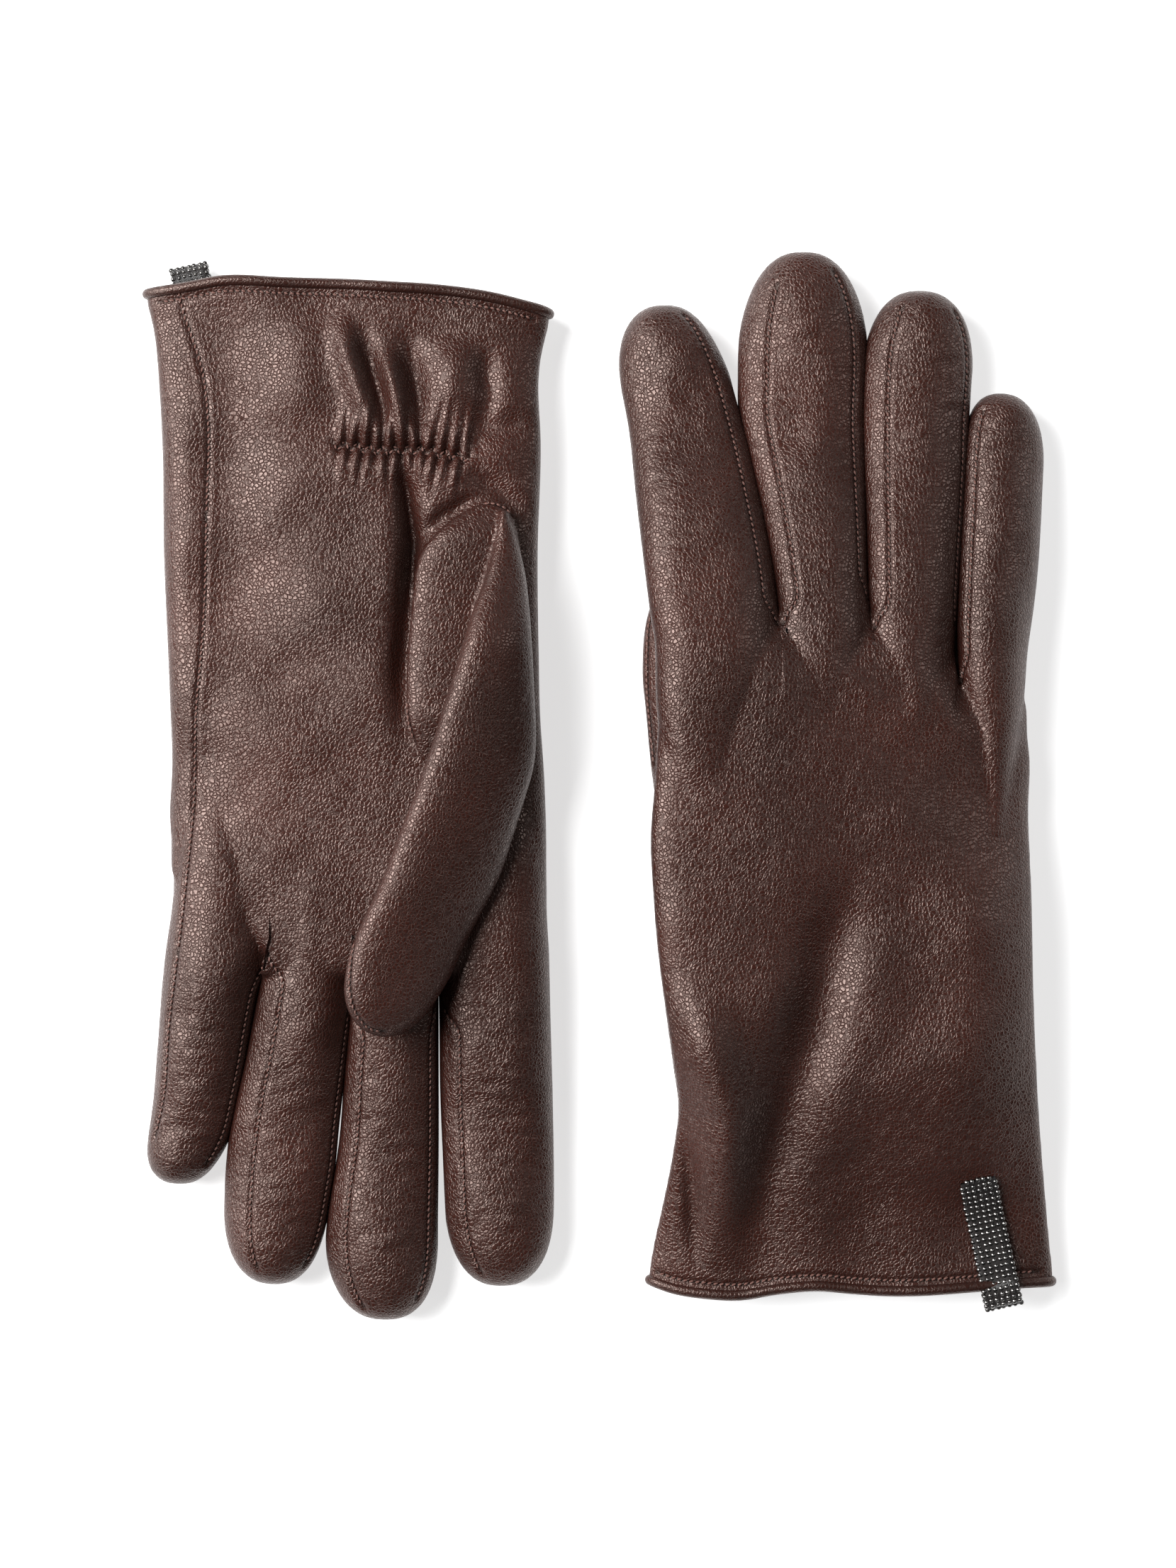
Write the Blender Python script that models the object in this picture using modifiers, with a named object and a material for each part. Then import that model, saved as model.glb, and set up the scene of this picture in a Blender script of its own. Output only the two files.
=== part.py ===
"""A pair of lined leather touchscreen gloves, lying side by side at rest. The right glove lies palm down
with its thumb folded under the palm, and the left glove palm up with its thumb folded over the palm.

Each glove is drawn in a frame of its own, in millimetres: u runs across the hand from the thumb side to
the little finger, v from the cuff's mouth to the fingertips, and w from the palm to the back of the hand.
The left glove's frame is the right one's turned through a point, as a left hand is to a right hand."""

import math
from dataclasses import dataclass

import bmesh
import bpy
from mathutils import Vector

MM = 0.001
LEATHER = 1.2
LINING = 1.2
FIT = 0.3
LAYER_GAP = 0.5
INNER = LEATHER + LAYER_GAP
HAND_HALF_THICK = 9.0

CUFF_EDGE = 3.1
CUFF_MIDDLE = 20.0
LINING_END = 31.0
CUFF_END = 37.5
WRIST_V = 40.0
HAND_START = 42.5
KNUCKLE_V = 175.0
LITTLE_KNUCKLE_V = 160.0
BACK_CROTCH_V = 150.0
PALM_CROTCH_V = 165.0
LITTLE_BACK_CROTCH_V = 135.0
SLIT = 0.024
FINGER_START = 3.0
SIDE_CLEARANCE = 0.4
HAND_LOW_ROW = 56.0
THUMB_TOP_ROW = 112.0
FOLD_EDGE = 50.0

DRAPE_EDGE_U = 42.0
DRAPE_SPAN_U = 76.0
DRAPE_START_V = -6.0
DRAPE_RISE_V = 76.0
DRAPE_TOP_V = 140.0
DRAPE_FALL_V = 85.0

SEAM_ANGLE = 32.0
SEAM_SLIT = 3.5
FOLD_SLIT = 7.0
FLANK_ANGLE = 62.0
TIP_CAP = 2.0
TIP_SHARES = (0.65, 0.22, 0.04, 0.0)
FINGER_FLAT = 0.25
TUBE_ANGLES = (0, 30, 60, 90)

THUMB_HALF_THICK = 6.5
THUMB_HEEL = 14.0
TIP_ROUND = 11.0
THUMB_FLAT = 0.2
THUMB_MOUTH = 9.5
THUMB_MOUTH_RISE = 2.0
THUMB_HEEL_SHARES = (0.0, 0.06, 0.25)
THUMB_RUN = (32.0, 54.0)
THUMB_TIP_SHARES = (1.0, 0.5, 0.15, 0.03, 0.0)
THUMB_HOLE_ROWS = (71.0, 91.0)

BINDING_RADIUS = 1.4
BINDING_V = 1.4
ELASTIC_ROWS = (31.6, 34.0, 36.6)
ELASTIC_THICK = 0.8
TAB_WIDTH = 9.2
TAB_THICK = 1.3
TAB_TOP_V = 24.6
TAB_INNER_V = 12.0
TAB_LEAN = 0.218
TAB_CENTRE_U = 36.2
TAB_LOOP = 6.4
TAB_GAP = 0.45
TAB_RUN_ROWS = 4
TAB_LOOP_ROWS = 8
TAB_ROOM_FADE = 20.0


@dataclass
class Finger:
    """One finger: where its centre line starts and ends, how far the line bows, and its half widths."""

    name: str
    base_u: float
    knuckle: float
    tip_u: float
    tip_v: float
    bow: float
    half_widths: tuple
    half_thick: float
    thumb_side_seam: bool = True
    little_side_seam: bool = True


@dataclass
class Glove:
    """One glove as it lies. An outline row is v, thumb-side edge, little-side edge, half thickness."""

    side: str
    mirror: int
    origin: tuple
    down: int
    flat: float
    crotches: tuple
    outline: tuple
    fingers: tuple
    thumb: Finger
    thumb_w: float
    lift: float
    tab_room: float


RIGHT = Glove(
    side="right",
    mirror=1,
    origin=(55.7, -115.2),
    down=-1,
    flat=0.617,
    crotches=(0.141, -0.371),
    outline=(
        (0, -44.8, 48.9, 6.5),
        (20, -41.0, 46.8, 7.0),
        (40, -37.8, 44.9, 8.0),
        (60, -40.3, 44.0, 9.0),
        (90, -43.6, 43.2, 9.0),
        (120, -43.0, 42.2, 9.0),
        (153, -43.6, 43.0, 9.0),
        (175, -46.4, 44.5, 9.0),
    ),
    fingers=(
        Finger("index", -32.2, KNUCKLE_V, -41.5, 225.4, 0.0, (14.2, 12.7, 12.2), 7.5, thumb_side_seam=False),
        Finger("middle", -6.4, KNUCKLE_V, -9.0, 237.7, -1.4, (11.5, 13.6, 13.4), 7.5),
        Finger("ring", 16.3, KNUCKLE_V, 17.9, 228.7, 0.0, (11.0, 11.8, 12.0), 7.5),
        Finger("little", 35.2, LITTLE_KNUCKLE_V, 36.7, 205.0, 0.7, (8.6, 8.9, 8.6), 6.8, True, False),
    ),
    thumb=Finger("thumb", -26.0, 81.0, -37.0, 163.0, -1.5, (12.0, 10.8, 10.0), THUMB_HALF_THICK),
    thumb_w=THUMB_HALF_THICK - HAND_HALF_THICK,
    lift=15.6,
    tab_room=0.0,
)

LEFT = Glove(
    side="left",
    mirror=-1,
    origin=(-58.4, 115.5),
    down=1,
    flat=0.495,
    crotches=(0.027, -0.420),
    outline=(
        (0, -46.3, 46.3, 6.5),
        (20, -44.2, 43.6, 7.0),
        (40, -43.8, 42.4, 8.0),
        (60, -43.5, 42.2, 9.0),
        (90, -43.9, 41.0, 9.0),
        (120, -45.2, 40.0, 9.0),
        (153, -45.7, 41.3, 9.0),
        (175, -46.2, 43.0, 9.0),
    ),
    fingers=(
        Finger("index", -34.0, KNUCKLE_V, -35.3, 230.2, 0.0, (12.3, 12.4, 12.2), 7.5, thumb_side_seam=False),
        Finger("middle", -10.0, KNUCKLE_V, -8.5, 238.0, 0.6, (10.2, 11.5, 12.0), 7.5),
        Finger("ring", 11.5, KNUCKLE_V, 17.1, 229.8, 1.0, (11.0, 11.8, 11.5), 7.5),
        Finger("little", 31.0, LITTLE_KNUCKLE_V, 39.0, 206.7, -0.8, (11.2, 9.9, 9.0), 6.8, True, False),
    ),
    thumb=Finger("thumb", -28.0, 81.0, -9.0, 172.8, -5.0, (12.0, 12.0, 10.4), THUMB_HALF_THICK),
    thumb_w=-HAND_HALF_THICK - 0.5 - THUMB_HALF_THICK,
    lift=0.0,
    tab_room=1.85,
)

COLOURS = {
    "leather": ((0.068, 0.034, 0.026, 1.0), 0.42, 0.0),
    "fourchette": ((0.055, 0.027, 0.021, 1.0), 0.45, 0.0),
    "lining": ((0.030, 0.016, 0.013, 1.0), 0.95, 0.0),
    "elastic": ((0.020, 0.014, 0.012, 1.0), 0.85, 0.0),
    "binding": ((0.050, 0.024, 0.019, 1.0), 0.40, 0.0),
    "beads": ((0.330, 0.320, 0.310, 1.0), 0.28, 1.0),
}


def clear_scene():
    for obj in list(bpy.data.objects):
        bpy.data.objects.remove(obj, do_unlink=True)


def smooth_step(value):
    value = min(max(value, 0.0), 1.0)
    return value * value * (3.0 - 2.0 * value)


def drape(glove, u, v):
    """How far the glove is lifted off the table by the thumb folded under it."""
    across = max(0.0, (DRAPE_EDGE_U - u) / DRAPE_SPAN_U)
    rising = smooth_step((v - DRAPE_START_V) / DRAPE_RISE_V)
    falling = 1.0 - smooth_step((v - DRAPE_TOP_V) / DRAPE_FALL_V)
    return glove.lift * across * rising * falling


def place(glove, u, v, w, draped=True):
    """A point of the glove's own frame in the pair's frame, in metres."""
    rise = drape(glove, u, v) if draped else 0.0
    x, y = glove.origin
    z = HAND_HALF_THICK + glove.mirror * w + rise
    return Vector((x + glove.mirror * u, y + glove.mirror * v, z)) * MM


def outline_at(glove, v):
    """Centre, half width and half thickness of the hand at v."""
    rows = glove.outline
    for (v0, *first), (v1, *second) in zip(rows, rows[1:]):
        if v <= v1:
            break
    share = (v - v0) / (v1 - v0)
    low, high, thick = (a + (b - a) * share for a, b in zip(first, second))
    return (low + high) / 2.0, (high - low) / 2.0, thick


def hand_lean(glove, v, thick):
    """How far the section's middle leans to the table, less the room for a bead tab under the cuff."""
    room = glove.tab_room * (1.0 - smooth_step((v - TAB_TOP_V) / TAB_ROOM_FADE))
    return glove.down * (HAND_HALF_THICK - thick - room)


def hand_station(glove, v, inset):
    centre, half, thick = outline_at(glove, v)
    return centre, v, hand_lean(glove, v, thick), half - inset, thick - inset


def finger_station(glove, finger, v, inset, w_centre, heel=0.0):
    """A finger's section at v. Its half width runs through three values and closes in a round tip."""
    start = finger.knuckle
    share = (v - start) / (finger.tip_v - start)
    base, middle, end = finger.half_widths
    early = min(max(share, 0.0), 1.0)
    late = 1 - early
    half = base * late * (late - early) + 4 * middle * early * late + end * early * (early - late)
    centre = finger.base_u + (finger.tip_u - finger.base_u) * share + 4 * finger.bow * early * late
    close = tip_closing(finger.tip_v - inset - v, TIP_ROUND - inset)
    if heel:
        close *= tip_closing(v - (start - heel + inset), heel - inset)
    half = (half - SIDE_CLEARANCE - inset) * close
    return centre, v, w_centre, half, (finger.half_thick - inset) * close


def tip_closing(distance, radius):
    """The share of the full section left at a distance from a rounded end."""
    if distance >= radius:
        return 1.0
    return math.sqrt(max(0.0, 1.0 - (1.0 - distance / radius) ** 2))


def ring_points(glove, station, columns, flat, draped=True):
    """Points round a flat-sided oval section: each column is a side, +1 or -1, and an angle in degrees."""
    centre, v, w_centre, half, thick = station
    points = []
    for side, angle in columns:
        turn = math.radians(angle)
        u = centre + half * (side * flat + (1.0 - flat) * math.cos(turn))
        points.append(place(glove, u, v, w_centre + thick * math.sin(turn), draped))
    return points


def oval_columns(angles, middles=()):
    """Columns once round: little-finger side, back, thumb side, palm."""
    right_up = [(1, a) for a in angles]
    left_up = [(-1, 180 - a) for a in reversed(angles)]
    left_down = [(-1, 180 + a) for a in angles[1:]]
    right_down = [(1, -a) for a in reversed(angles[1:])]
    over = [(m, 90) for m in middles]
    under = [(m, 270) for m in reversed(middles)]
    return right_up + over + left_up + left_down + under + right_down


def material(kind):
    name = "mat_" + kind
    found = bpy.data.materials.get(name)
    if found:
        return found
    colour, roughness, metallic = COLOURS[kind]
    made = bpy.data.materials.new(name)
    made.use_nodes = True
    shader = made.node_tree.nodes["Principled BSDF"]
    shader.inputs["Base Color"].default_value = colour
    shader.inputs["Roughness"].default_value = roughness
    shader.inputs["Metallic"].default_value = metallic
    return made


def add_object(name, data, kind, joint):
    data.materials.append(material(kind))
    obj = bpy.data.objects.new(name, data)
    bpy.data.collections["touchscreen_gloves"].objects.link(obj)
    obj.parent = joint
    return obj


def add_joint(name, point):
    """An empty on a joint's axis, which the pieces that turn together hang from."""
    empty = bpy.data.objects.new(name, None)
    empty.empty_display_size = 0.01
    empty.location = point
    bpy.data.collections["touchscreen_gloves"].objects.link(empty)
    return empty


def surface(name, glove, rings, keep, joint, closed=True):
    """An open surface through rings of points, holding the cells that keep(row, column) allows."""
    shape = bmesh.new()
    rows = [[shape.verts.new(point - joint.location) for point in ring] for ring in rings]
    count = len(rings[0])
    for i in range(len(rows) - 1):
        for j in range(count if closed else count - 1):
            if not keep(i, j):
                continue
            k = (j + 1) % count
            corners = [rows[i][j], rows[i][k], rows[i + 1][k], rows[i + 1][j]]
            shape.faces.new(corners if glove.mirror < 0 else corners[::-1])
    bmesh.ops.remove_doubles(shape, verts=shape.verts, dist=1e-6)
    bmesh.ops.delete(shape, geom=[v for v in shape.verts if not v.link_faces], context="VERTS")
    mesh = bpy.data.meshes.new(name)
    shape.to_mesh(mesh)
    shape.free()
    return mesh


def add_shell(name, glove, rings, keep, thickness, kind, joint, closed=True, outward=False):
    """A sheet of even thickness laid under a surface, or on it when outward is set."""
    mesh = surface(name, glove, rings, keep, joint, closed)
    obj = add_object(name, mesh, kind, joint)
    solid = obj.modifiers.new("Thickness", "SOLIDIFY")
    solid.thickness = thickness * MM
    solid.offset = 1.0 if outward else -1.0
    solid.use_even_offset = True
    mesh.shade_smooth()
    mesh.set_sharp_from_angle(angle=math.radians(FOLD_EDGE))
    return obj


def hand_columns(glove):
    """Columns round the hand, with a narrow pair on each line between two fingers."""
    ring_side, index_side = glove.crotches
    narrow = SLIT / 2.0
    shares = (ring_side + narrow, ring_side - narrow, index_side + narrow, index_side - narrow)
    return oval_columns(TUBE_ANGLES, [1.0 - SLIT / glove.flat] + [share / glove.flat for share in shares])


def hand_rings(glove, rows, columns, inset):
    return [ring_points(glove, hand_station(glove, v, inset), columns, glove.flat) for v in rows]


def add_hand(glove, joint):
    """The trank's back and palm halves and the hand's lining, with the thumb's hole in the palm."""
    columns = hand_columns(glove)
    rows = (
        HAND_START, HAND_LOW_ROW, *THUMB_HOLE_ROWS, THUMB_TOP_ROW, LITTLE_BACK_CROTCH_V, BACK_CROTCH_V,
        LITTLE_KNUCKLE_V, PALM_CROTCH_V, KNUCKLE_V,
    )
    half = len(columns) // 2
    arc = len(TUBE_ANGLES)
    hole = (half + arc - 2, half + arc - 1)
    little_slits = (arc - 1, len(columns) - arc)
    slits = (*little_slits, arc + 1, arc + 3, half + arc, half + arc + 2)

    def in_lining(i, j):
        """True off the thumb's hole, and where the little finger isn't in the way."""
        past_knuckle = rows[i] >= LITTLE_KNUCKLE_V
        on_little = j < arc - 1 or j > len(columns) - arc
        in_hole = rows[i] == THUMB_HOLE_ROWS[0] and j in hole
        return not (past_knuckle and on_little) and not in_hole

    def in_trank(i, j):
        """The lining's shape, slit between the fingers from the crotch up."""
        crotch = BACK_CROTCH_V if j < half else PALM_CROTCH_V
        if j in little_slits:
            crotch = LITTLE_BACK_CROTCH_V if j < half else BACK_CROTCH_V
        return in_lining(i, j) and not (j in slits and rows[i] >= crotch)

    back = [(1, FOLD_SLIT), *columns[1:half], (-1, 180 - FOLD_SLIT)]
    palm = [(-1, 180 + FOLD_SLIT), *columns[half + 1 :], (1, -FOLD_SLIT)]
    for part, used, first in (("back_panel", back, 0), ("palm_panel", palm, half)):
        rings = hand_rings(glove, rows, used, 0.0)
        add_shell(
            f"{glove.side}_{part}", glove, rings, lambda i, j, first=first: in_trank(i, first + j),
            LEATHER, "leather", joint, closed=False,
        )
    rings = hand_rings(glove, rows, columns, INNER)
    add_shell(f"{glove.side}_hand_lining", glove, rings, in_lining, LINING, "lining", joint)


def add_cuff(glove, joint):
    """The cuff below the wrist gather: leather, lining, the gather's elastic and the rolled binding."""
    columns = hand_columns(glove)
    side = glove.side

    def everywhere(i, j):
        return True

    rings = hand_rings(glove, (CUFF_EDGE, CUFF_MIDDLE, LINING_END, CUFF_END), columns, 0.0)
    add_shell(f"{side}_cuff_leather", glove, rings, everywhere, LEATHER, "leather", joint)
    rings = hand_rings(glove, (CUFF_EDGE, CUFF_MIDDLE, LINING_END), columns, INNER)
    add_shell(f"{side}_cuff_lining", glove, rings, everywhere, LINING, "lining", joint)
    palm = columns[len(columns) // 2 + len(TUBE_ANGLES) - 1 : -len(TUBE_ANGLES) + 2]
    rings = hand_rings(glove, ELASTIC_ROWS, palm, INNER)
    elastic = f"{side}_wrist_elastic"
    add_shell(elastic, glove, rings, everywhere, ELASTIC_THICK, "elastic", joint, closed=False)
    add_binding(glove, joint, columns)
    add_bead_tab(glove, joint)


def add_binding(glove, joint, columns):
    """The rolled edge of the mouth, a closed cord of leather over the raw edges."""
    inset = (INNER + LINING) / 2.0
    points = ring_points(glove, hand_station(glove, BINDING_V, inset), columns, glove.flat)
    curve = bpy.data.curves.new(f"{glove.side}_cuff_binding", "CURVE")
    curve.dimensions = "3D"
    curve.bevel_depth = BINDING_RADIUS * MM
    curve.bevel_resolution = 1
    spline = curve.splines.new("POLY")
    spline.points.add(len(points) - 1)
    for knot, point in zip(spline.points, points):
        knot.co = (*(point - joint.location), 1.0)
    spline.use_cyclic_u = True
    add_object(f"{glove.side}_cuff_binding", curve, "binding", joint)


def tab_path():
    """The bead tab's run as (v, height over the cuff's face): down the back, round the edge, up inside."""
    middle = -(INNER + LINING) / 2.0
    reach = BINDING_RADIUS + TAB_GAP
    fall = (BINDING_V - TAB_TOP_V) / TAB_RUN_ROWS
    outside = [(TAB_TOP_V + fall * n, middle + reach) for n in range(TAB_RUN_ROWS)]
    turns = [math.pi * n / TAB_LOOP_ROWS for n in range(TAB_LOOP_ROWS + 1)]
    loop = [(BINDING_V - TAB_LOOP * math.sin(t), middle + reach * math.cos(t)) for t in turns]
    inside = [(TAB_INNER_V, middle - reach)]
    return outside + loop + inside


def cuff_face(glove, u, v):
    """Height of the cuff's outer back face at u, v."""
    centre, half, thick = outline_at(glove, max(v, 0.0))
    beyond = max(0.0, abs(u - centre) / half - glove.flat) / (1.0 - glove.flat)
    return hand_lean(glove, v, thick) + thick * math.sqrt(max(0.0, 1.0 - beyond * beyond))


def add_bead_tab(glove, joint):
    """A strap of metal beads sewn on the back of the cuff, which loops over the edge to the inside."""
    rings = []
    for v, height in tab_path():
        centre = TAB_CENTRE_U - v * TAB_LEAN
        edges = [centre + TAB_WIDTH * share for share in (-0.5, 0.0, 0.5)]
        rings.append([place(glove, u, v, cuff_face(glove, u, v) + height) for u in edges])
    add_shell(
        f"{glove.side}_bead_tab", glove, rings, lambda i, j: True, TAB_THICK, "beads", joint,
        closed=False, outward=True,
    )


def finger_columns(slit):
    """Columns round a finger, with a slit of twice this angle at each of its four seams."""
    seam, flank = SEAM_ANGLE, FLANK_ANGLE
    back = [(1, seam + slit), (1, flank), (1, 90), (-1, 90), (-1, 180 - flank), (-1, 180 - seam - slit)]
    thumb_side = [(-1, 180 - seam + slit), (-1, 180), (-1, 180 + seam - slit)]
    palm_thumb_half = [(-1, 180 + seam + slit), (-1, 180 + flank), (-1, 270)]
    palm_little_half = [(1, 270), (1, 360 - flank), (1, 360 - seam - slit)]
    little_side = [(1, 360 - seam + slit), (1, 360), (1, 360 + seam - slit)]
    return back + thumb_side + palm_thumb_half + palm_little_half + little_side


BACK_CELLS = range(0, 5)
THUMB_SIDE_CELLS = range(6, 8)
PALM_CELLS = range(9, 14)
LITTLE_SIDE_CELLS = range(15, 17)


def finger_rings(glove, finger, rows, columns, inset):
    w_centre = glove.down * (HAND_HALF_THICK - finger.half_thick)
    stations = [finger_station(glove, finger, v, inset, w_centre) for v in rows]
    return [ring_points(glove, station, columns, FINGER_FLAT) for station in stations]


def add_finger(glove, finger, joint):
    """A finger's trank strip over the tip, its fourchettes and its lining."""
    start = finger.knuckle + FINGER_START
    seam_end = finger.tip_v - TIP_ROUND - TIP_CAP
    tip = [finger.tip_v - TIP_ROUND * share for share in TIP_SHARES]
    rows = [start, (start + seam_end) / 2.0, seam_end - FIT / 2.0, seam_end + FIT / 2.0, *tip]
    columns = finger_columns(SEAM_SLIT)
    rings = finger_rings(glove, finger, rows, columns, 0.0)
    seams = {"thumb_side": finger.thumb_side_seam, "little_side": finger.little_side_seam}
    side_cells = {"thumb_side": THUMB_SIDE_CELLS, "little_side": LITTLE_SIDE_CELLS}
    strip = set(BACK_CELLS) | set(PALM_CELLS)
    for side, sewn in seams.items():
        if not sewn:
            cells = side_cells[side]
            strip |= set(range(cells.start - 1, cells.stop + 1))
    prefix = f"{glove.side}_{finger.name}"
    add_shell(
        f"{prefix}_trank", glove, rings, lambda i, j: j in strip or i >= 3, LEATHER, "leather", joint,
    )
    for side, sewn in seams.items():
        if sewn:
            name = f"{prefix}_fourchette_{side}" if all(seams.values()) else f"{prefix}_fourchette"
            cells = side_cells[side]
            add_shell(
                name, glove, rings, lambda i, j, cells=cells: j in cells and i < 2,
                LEATHER, "fourchette", joint,
            )
    inner_tip = [finger.tip_v - INNER - (TIP_ROUND - INNER) * share for share in (1.0, *TIP_SHARES)]
    rows = [start, (start + seam_end) / 2.0, *inner_tip]
    columns = [c for j, c in enumerate(finger_columns(0.0)) if j not in (5, 8, 14, 17)]
    rings = finger_rings(glove, finger, rows, columns, INNER)
    add_shell(f"{prefix}_lining", glove, rings, lambda i, j: True, LINING, "lining", joint)


def add_thumb(glove, joint):
    """The thumb: a tube closed at both ends, its heel open towards the palm's hole that it is sewn round."""
    thumb = glove.thumb
    columns = oval_columns(TUBE_ANGLES)
    hole = (2, 3, 4)
    layers = (("leather", 0.0, LEATHER, "leather"), ("lining", INNER, LINING, "lining"))
    for part, inset, thickness, kind in layers:
        heel, toe = THUMB_HEEL - inset, TIP_ROUND - inset
        back = [thumb.knuckle - heel + heel * share for share in THUMB_HEEL_SHARES]
        mouth = [thumb.knuckle - THUMB_MOUTH + THUMB_MOUTH_RISE, thumb.knuckle + THUMB_MOUTH]
        run = [thumb.knuckle + reach for reach in THUMB_RUN]
        front = [thumb.tip_v - inset - toe * share for share in THUMB_TIP_SHARES]
        rows = back + mouth + run + front
        rings = [
            ring_points(
                glove, finger_station(glove, thumb, v, inset, glove.thumb_w, THUMB_HEEL), columns, THUMB_FLAT,
                draped=False,
            )
            for v in rows
        ]
        first = len(back)
        add_shell(
            f"{glove.side}_thumb_{part}", glove, rings,
            lambda i, j, first=first: not (i == first and j in hole), thickness, kind, joint,
        )


def finger_pivot(glove, finger):
    """The finger bends about a line across its palm face at the knuckle."""
    palm = glove.down * (HAND_HALF_THICK - finger.half_thick) - finger.half_thick
    return place(glove, finger.base_u, finger.knuckle, palm)


def add_glove(glove):
    side = glove.side
    hand = add_joint(f"{side}_hand_origin", place(glove, 0.0, 100.0, 0.0, draped=False))
    add_hand(glove, hand)
    _, _, thick = outline_at(glove, WRIST_V)
    wrist = place(glove, 0.0, WRIST_V, hand_lean(glove, WRIST_V, thick))
    add_cuff(glove, add_joint(f"{side}_wrist_axis", wrist))
    for finger in glove.fingers:
        add_finger(glove, finger, add_joint(f"{side}_{finger.name}_axis", finger_pivot(glove, finger)))
    thumb = glove.thumb
    pivot = place(glove, thumb.base_u, thumb.knuckle, glove.thumb_w, draped=False)
    add_thumb(glove, add_joint(f"{side}_thumb_axis", pivot))


def main():
    clear_scene()
    group = bpy.data.collections.new("touchscreen_gloves")
    bpy.context.scene.collection.children.link(group)
    for glove in (LEFT, RIGHT):
        add_glove(glove)


main()
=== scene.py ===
import math
from dataclasses import dataclass, field

import bpy
import numpy as np
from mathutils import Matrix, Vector
from mathutils.bvhtree import BVHTree
from mathutils.kdtree import KDTree


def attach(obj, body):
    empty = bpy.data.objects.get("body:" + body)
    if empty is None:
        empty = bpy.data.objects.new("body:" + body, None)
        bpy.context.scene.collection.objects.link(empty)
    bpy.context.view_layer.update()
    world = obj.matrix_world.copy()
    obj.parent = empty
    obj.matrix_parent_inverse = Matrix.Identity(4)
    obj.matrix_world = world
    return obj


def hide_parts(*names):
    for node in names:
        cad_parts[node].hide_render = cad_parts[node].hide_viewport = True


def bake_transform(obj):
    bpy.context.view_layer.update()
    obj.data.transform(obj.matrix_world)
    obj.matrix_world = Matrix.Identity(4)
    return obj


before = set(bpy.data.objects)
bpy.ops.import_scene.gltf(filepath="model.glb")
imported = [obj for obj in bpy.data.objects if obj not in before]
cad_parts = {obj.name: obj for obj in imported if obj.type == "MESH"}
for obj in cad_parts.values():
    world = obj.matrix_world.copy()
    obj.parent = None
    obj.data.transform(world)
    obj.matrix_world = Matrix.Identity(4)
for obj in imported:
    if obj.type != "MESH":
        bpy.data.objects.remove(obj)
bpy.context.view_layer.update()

# A glove is drawn in its own frame, in millimetres: u from the thumb side to the little finger,
# v from the cuff's mouth to the fingertips, w from the palm to the back of the hand.
MM = 0.001
HALF_THICK = 9.0
MOUTH_HALF_THICK = 6.5
MOUTH_HALF_WIDTH = 46.0
FLOOR_GAP = 0.15

# The skins' voxels, how often they are smoothed, and how far inside the leather the lining lies.
SKIN_VOXEL = 0.62
SKIN_SMOOTHING = 9
THUMB_SMOOTHING = 4
LINING_VOXEL = 2.2
LINING_SMOOTHING = 4
LINING_INSET = 1.7
LINING_END_V = 150.0

# Where the pieces part and the spans of v given to blend_v, a finger's counted from its own start.
CUFF_SPLIT = 54.0
WRIST_BLEND = (52.0, 28.0)
FINGER_BLEND = (1.0, 25.0)
THUMB_BLEND = (80.0, 112.0)
MOUTH_FADE = 22.0

# The fingers are meshed apart, so that they don't fuse, and brought together again afterwards.
FINGER_ROOT = 104.0
SPREAD = np.array([-6.0, -6.0, -2.0, -2.0, 2.0, 2.0, 6.0, 6.0])
SPREAD_V = (95.0, 134.0)
CLOSE_EDGE = 0.15
SNUG = 0.5
SNUG_V = (142.0, 156.0)
EVEN_V = (127.0, 141.0)

# The hand's end between the fingers, and the fingers' fullness.
CROTCH_V = 157.0
CROTCH_ROUND = 11.0
CROTCH_SHEAR = 8.0
LITTLE_DROP = 13.0
FINGER_FILL = 0.2
FINGER_SINK = 3.0
TIP_FILL = 0.9

FOLD_HEIGHT = 1.6
CAST_FROM = 60.0


def smooth(x):
    x = np.clip(x, 0.0, 1.0)
    return x * x * (3.0 - 2.0 * x)


def ease(v, span):
    """0 before the span, 1 beyond it and smooth between."""
    return smooth((v - span[0]) / (span[1] - span[0]))


def curve(rows, x):
    """A smooth curve through (x, y) rows, held level past its ends."""
    xs, ys = np.array(rows, float).T
    slope = np.gradient(ys, xs)
    x = np.clip(x, xs[0], xs[-1])
    i = np.clip(np.searchsorted(xs, x) - 1, 0, len(xs) - 2)
    h = xs[i + 1] - xs[i]
    t = (x - xs[i]) / h
    a = (2 * t**3 - 3 * t**2 + 1) * ys[i] + (t**3 - 2 * t**2 + t) * h * slope[i]
    return a + (3 * t**2 - 2 * t**3) * ys[i + 1] + (t**3 - t**2) * h * slope[i + 1]


def edges_at(rows, v):
    """Both edges at v, from rows of (v, one edge's u, the other's u)."""
    return curve([(r[0], r[1]) for r in rows], v), curve([(r[0], r[2]) for r in rows], v)


def rounded(share, power):
    """What is left of a width at a share of the way along a rounded end: 1 at its start, 0 at its tip."""
    return (1.0 - share**power) ** (1.0 / power)


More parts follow.
